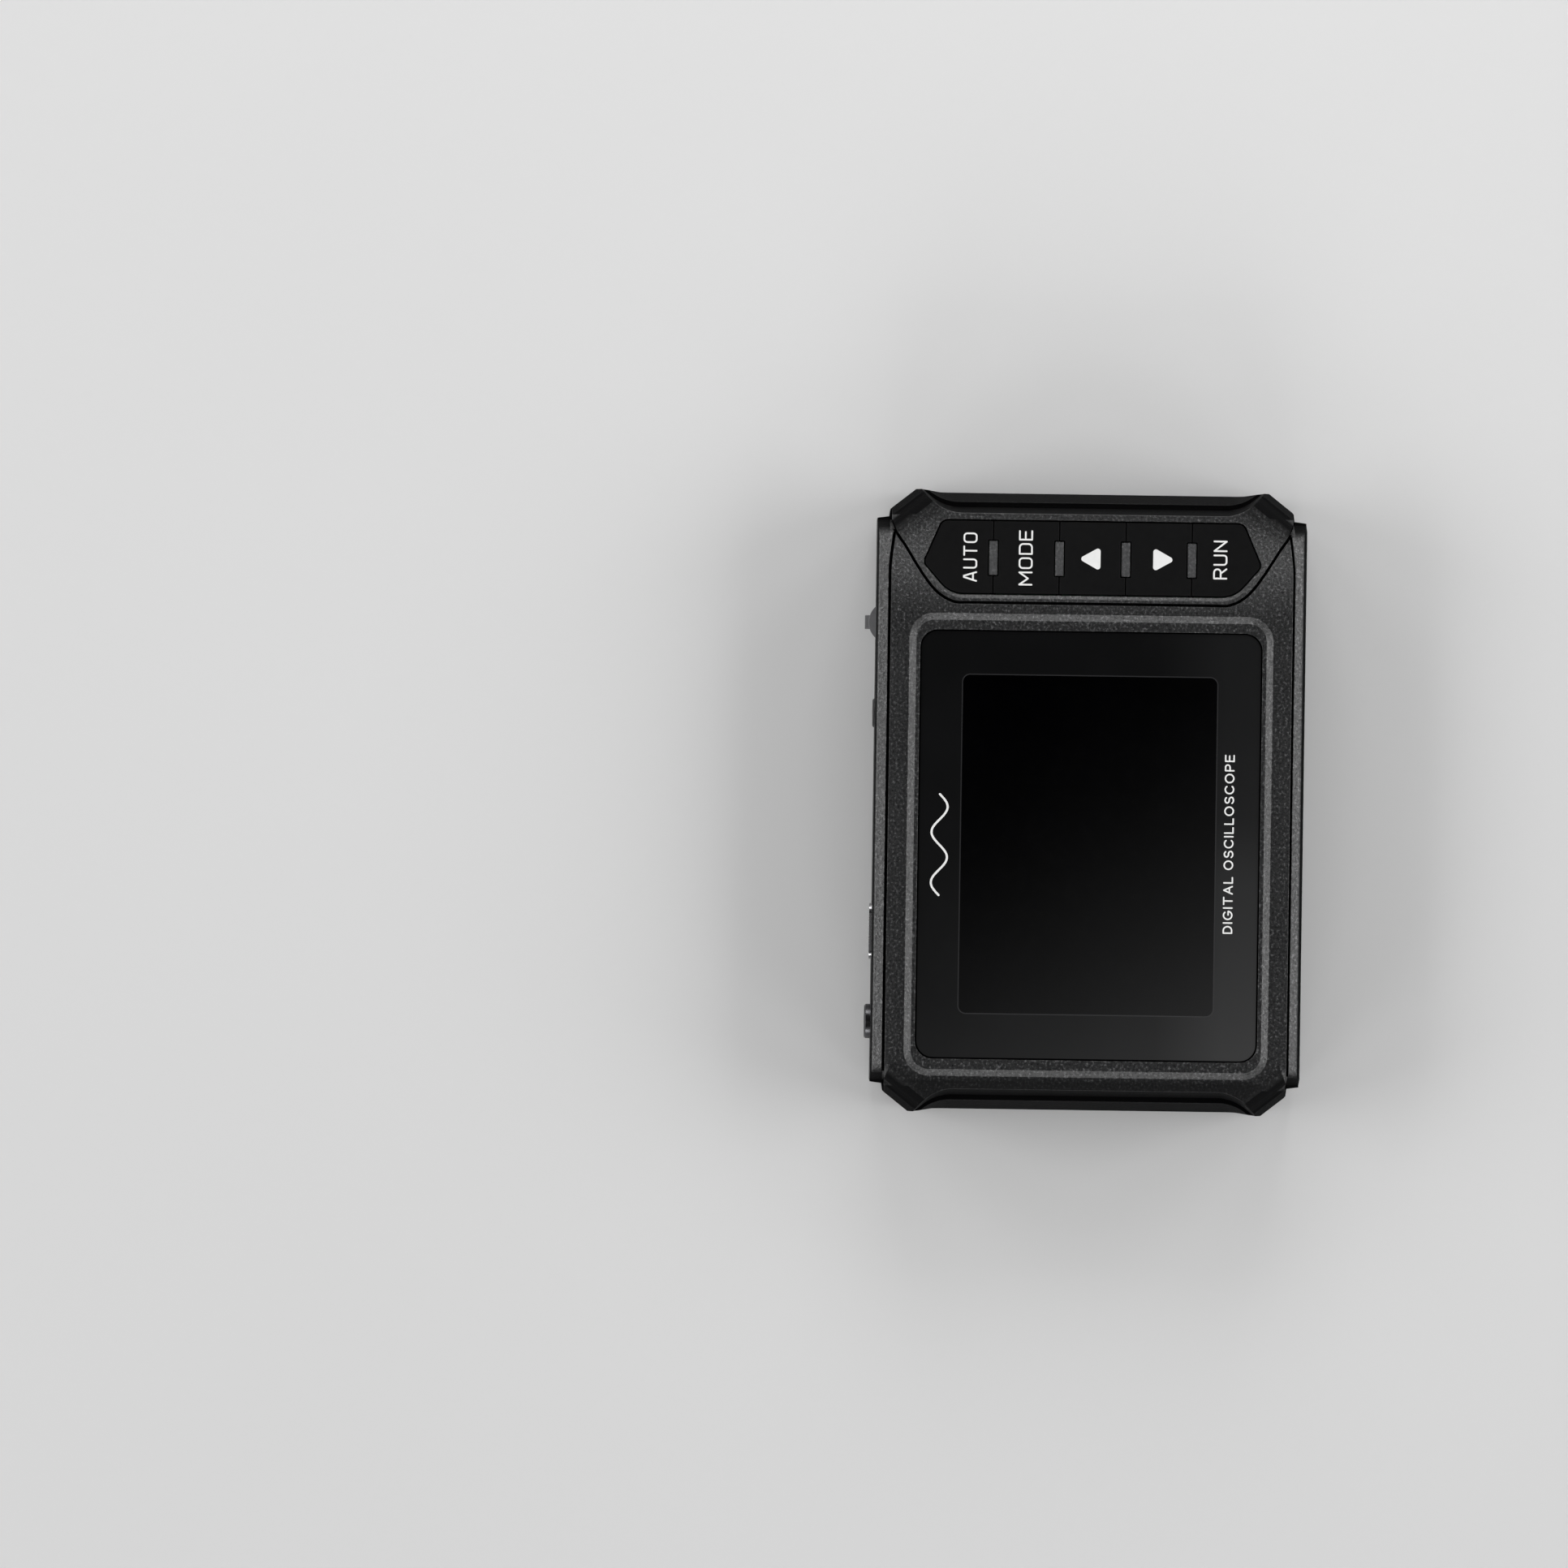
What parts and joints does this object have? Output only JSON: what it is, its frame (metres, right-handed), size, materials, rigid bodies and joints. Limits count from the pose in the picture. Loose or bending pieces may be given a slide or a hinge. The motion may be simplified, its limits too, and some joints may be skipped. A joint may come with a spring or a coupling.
{
  "type": "handheld oscilloscope",
  "caption": "Pocket digital oscilloscope: flat screen in a ribbed rugged case with a strip of push keys, a coaxial input jack, a charging socket and a sliding power switch.",
  "frame": {"origin": "centre of the flat back face", "axes": "+X along the length towards the key strip, +Y towards the edge with the sockets, +Z out of the screen"},
  "size_m": [0.099, 0.0701, 0.0195],
  "materials": {
    "case": "fine spark-eroded grain, satin",
    "lens": "polished, printed black on its back",
    "tape": "thin adhesive film",
    "foam": "closed-cell foam",
    "display": "dark polariser on glass",
    "backlight": "white moulded frame",
    "flex": "polyimide film",
    "board": "green solder mask",
    "chip": "moulded epoxy",
    "ceramic_part": "fired ceramic",
    "socket": "ivory nylon",
    "can": "plain nickel-plated",
    "key": "fine matt",
    "plunger": "plain moulded",
    "gold": "gold plated",
    "nickel": "nickel plated",
    "ptfe": "white fluoropolymer",
    "dark_plastic": "plain moulded",
    "slider": "fine matt",
    "pouch": "laminated foil",
    "red_wire": "smooth insulation",
    "black_wire": "smooth insulation",
    "screw": "black zinc",
    "label": "matt film"
  },
  "bodies": {
    "housing": {"front_cover": "case", "rear_cover": "case", "screen_lens": "lens", "lens_tape": "tape", "lcd_gasket": "foam", "lcd_glass": "display", "lcd_backlight": "backlight", "lcd_pads": "foam", "lcd_flex": "flex", "lcd_socket": "socket", "main_board": "board", "mcu_chip": "chip", "analog_chips": "chip", "charger_chip": "chip", "passives": "ceramic_part", "crystal_can": "can", "power_inductor": "chip", "tact_switches": "dark_plastic", "usb_c_shell": "nickel", "usb_c_tongue": "dark_plastic", "mcx_jack": "gold", "mcx_insulator": "ptfe", "mcx_contact": "gold", "cal_terminal": "dark_plastic", "cal_contact": "nickel", "power_switch_case": "can", "battery_tape": "tape", "battery_cell": "pouch", "battery_socket": "socket", "battery_plug": "socket", "battery_lead_red": "red_wire", "battery_lead_black": "black_wire", "case_screws": "screw", "board_screws": "screw", "rating_label": "label"},
    "power_switch_slide": {"power_slider": "slider", "power_lever": "dark_plastic"},
    "key_auto_assembly": {"key_auto": "key", "plunger_auto": "plunger"},
    "key_mode_assembly": {"key_mode": "key", "plunger_mode": "plunger"},
    "key_up_assembly": {"key_up": "key", "plunger_up": "plunger"},
    "key_down_assembly": {"key_down": "key", "plunger_down": "plunger"},
    "key_run_assembly": {"key_run": "key", "plunger_run": "plunger"}
  },
  "joints": [
    {"name": "press_auto", "type": "slide", "parent": "housing", "child": "key_auto_assembly", "axis": [0, 0, -1], "range_m": [0, 0.00035], "stiffness_N_per_m": 1500, "springref_m": -0.00005},
    {"name": "press_mode", "type": "slide", "parent": "housing", "child": "key_mode_assembly", "axis": [0, 0, -1], "range_m": [0, 0.00035], "stiffness_N_per_m": 1500, "springref_m": -0.00005},
    {"name": "press_up", "type": "slide", "parent": "housing", "child": "key_up_assembly", "axis": [0, 0, -1], "range_m": [0, 0.00035], "stiffness_N_per_m": 1500, "springref_m": -0.00005},
    {"name": "press_down", "type": "slide", "parent": "housing", "child": "key_down_assembly", "axis": [0, 0, -1], "range_m": [0, 0.00035], "stiffness_N_per_m": 1500, "springref_m": -0.00005},
    {"name": "press_run", "type": "slide", "parent": "housing", "child": "key_run_assembly", "axis": [0, 0, -1], "range_m": [0, 0.00035], "stiffness_N_per_m": 1500, "springref_m": -0.00005},
    {"name": "power_slide", "type": "slide", "parent": "housing", "child": "power_switch_slide", "axis": [1, 0, 0], "range_m": [0, 0.002]}
  ]
}
